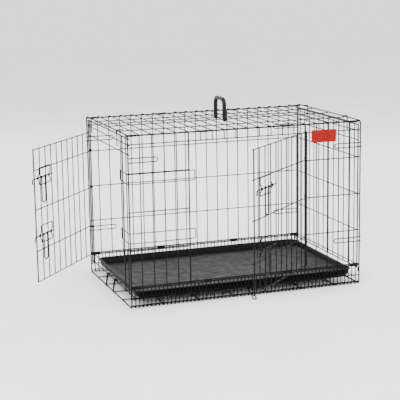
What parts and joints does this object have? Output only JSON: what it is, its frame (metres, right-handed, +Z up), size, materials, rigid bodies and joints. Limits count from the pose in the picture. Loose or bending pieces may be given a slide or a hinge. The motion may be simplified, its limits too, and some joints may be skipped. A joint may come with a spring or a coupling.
{
  "type": "wire dog crate",
  "caption": "Folding wire crate for a dog, with a door in one long side and one in an end, sliding bolt latches, a pull-out floor tray and a carrying handle.",
  "frame": {"origin": "on the ground under the middle of the closed crate", "axes": "+X along the crate's length, away from the end with a door; -Y is the long side with a door; +Z up"},
  "size_m": [1.2185, 0.9176, 0.7179],
  "materials": {
    "wire": "satin black powder coat",
    "tray_plastic": "matt black moulding",
    "handle_plastic": "matt black moulding",
    "plate_plastic": "gloss red"
  },
  "bodies": {
    "crate": {"base_corner_posts": "wire", "base_cross_wires": "wire", "base_edge_wires": "wire", "base_end_wires": "wire", "base_lip_wires": "wire", "base_long_wires": "wire", "base_sleeves": "wire", "corner_hairpins": "wire", "front_edge_wires": "wire", "front_posts": "wire", "front_rails": "wire", "front_uprights": "wire", "left_end_foot_wire": "wire", "left_end_loops": "wire", "left_end_posts": "wire", "left_end_rails": "wire", "left_end_uprights": "wire", "lower_keeper": "wire", "name_plate": "plate_plastic", "rear_edge_wires": "wire", "rear_posts": "wire", "rear_rails": "wire", "rear_uprights": "wire", "roof_cross_wires": "wire", "roof_edge_wires": "wire", "roof_end_wires": "wire", "roof_hangers": "wire", "roof_long_wires": "wire", "roof_sleeves": "wire", "tray_bearers": "wire", "upper_keeper": "wire"},
    "end_door": {"end_door_hinge_eyes": "wire", "end_door_lower_guide": "wire", "end_door_rails": "wire", "end_door_stiles": "wire", "end_door_upper_guide": "wire", "end_door_uprights": "wire"},
    "end_door_lower_bolt": {"end_door_lower_bolt": "wire"},
    "end_door_lower_paddle": {"end_door_lower_paddle": "wire"},
    "end_door_upper_bolt": {"end_door_upper_bolt": "wire"},
    "end_door_upper_paddle": {"end_door_upper_paddle": "wire"},
    "floor_clasp": {"floor_clasp": "wire"},
    "front_door": {"front_door_hinge_eyes": "wire", "front_door_lower_guide": "wire", "front_door_rails": "wire", "front_door_stiles": "wire", "front_door_upper_guide": "wire", "front_door_uprights": "wire"},
    "front_door_lower_bolt": {"front_door_lower_bolt": "wire"},
    "front_door_lower_paddle": {"front_door_lower_paddle": "wire"},
    "front_door_upper_bolt": {"front_door_upper_bolt": "wire"},
    "front_door_upper_paddle": {"front_door_upper_paddle": "wire"},
    "handle": {"handle": "handle_plastic"},
    "right_end_panel": {"right_end_foot_wire": "wire", "right_end_posts": "wire", "right_end_rails": "wire", "right_end_uprights": "wire"},
    "tray": {"tray": "tray_plastic"}
  },
  "joints": [
    {"name": "front_door_hinge", "type": "hinge", "parent": "crate", "child": "front_door", "pos_m": [0.2285, -0.2895, 0.35], "axis": [0, 0, 1], "range_deg": [-42.8, 87]},
    {"name": "front_door_upper_bolt_slide", "type": "slide", "parent": "front_door", "child": "front_door_upper_bolt", "axis": [-0.7337, -0.6794, 0], "range_m": [0, 0.021]},
    {"name": "front_door_upper_paddle_hinge", "type": "hinge", "parent": "front_door_upper_bolt", "child": "front_door_upper_paddle", "pos_m": [-0.03735, -0.56022, 0.463], "axis": [-0.7337, -0.6794, 0], "range_deg": [0, 100]},
    {"name": "front_door_lower_bolt_slide", "type": "slide", "parent": "front_door", "child": "front_door_lower_bolt", "axis": [-0.7337, -0.6794, 0], "range_m": [0, 0.021]},
    {"name": "front_door_lower_paddle_hinge", "type": "hinge", "parent": "front_door_lower_bolt", "child": "front_door_lower_paddle", "pos_m": [-0.03735, -0.56022, 0.248], "axis": [-0.7337, -0.6794, 0], "range_deg": [0, 100]},
    {"name": "end_door_hinge", "type": "hinge", "parent": "crate", "child": "end_door", "pos_m": [-0.4512, 0.253, 0.35], "axis": [0, 0, -1], "range_deg": [-40, 90]},
    {"name": "end_door_upper_bolt_slide", "type": "slide", "parent": "end_door", "child": "end_door_upper_bolt", "axis": [-0.6428, -0.766, 0], "range_m": [0, 0.021]},
    {"name": "end_door_upper_paddle_hinge", "type": "hinge", "parent": "end_door_upper_bolt", "child": "end_door_upper_paddle", "pos_m": [-0.70153, -0.01733, 0.461], "axis": [0.6428, 0.766, 0], "range_deg": [0, 100]},
    {"name": "end_door_lower_bolt_slide", "type": "slide", "parent": "end_door", "child": "end_door_lower_bolt", "axis": [-0.6428, -0.766, 0], "range_m": [0, 0.021]},
    {"name": "end_door_lower_paddle_hinge", "type": "hinge", "parent": "end_door_lower_bolt", "child": "end_door_lower_paddle", "pos_m": [-0.70153, -0.01733, 0.246], "axis": [0.6428, 0.766, 0], "range_deg": [0, 100]},
    {"name": "handle_swing", "type": "hinge", "parent": "crate", "child": "handle", "pos_m": [0, 0, 0.6319], "axis": [0, 1, 0], "range_deg": [-74, 74]},
    {"name": "tray_slide", "type": "slide", "parent": "crate", "child": "tray", "axis": [1, 0, 0], "range_m": [0, 0.86]},
    {"name": "clasp_swing", "type": "hinge", "parent": "crate", "child": "floor_clasp", "pos_m": [0.002, -0.2854, 0.035], "axis": [-1, 0, 0], "range_deg": [0, 100]},
    {"name": "right_end_fold", "type": "hinge", "parent": "crate", "child": "right_end_panel", "pos_m": [0.4468, 0, 0.066], "axis": [0, -1, 0], "range_deg": [0, 90]}
  ]
}
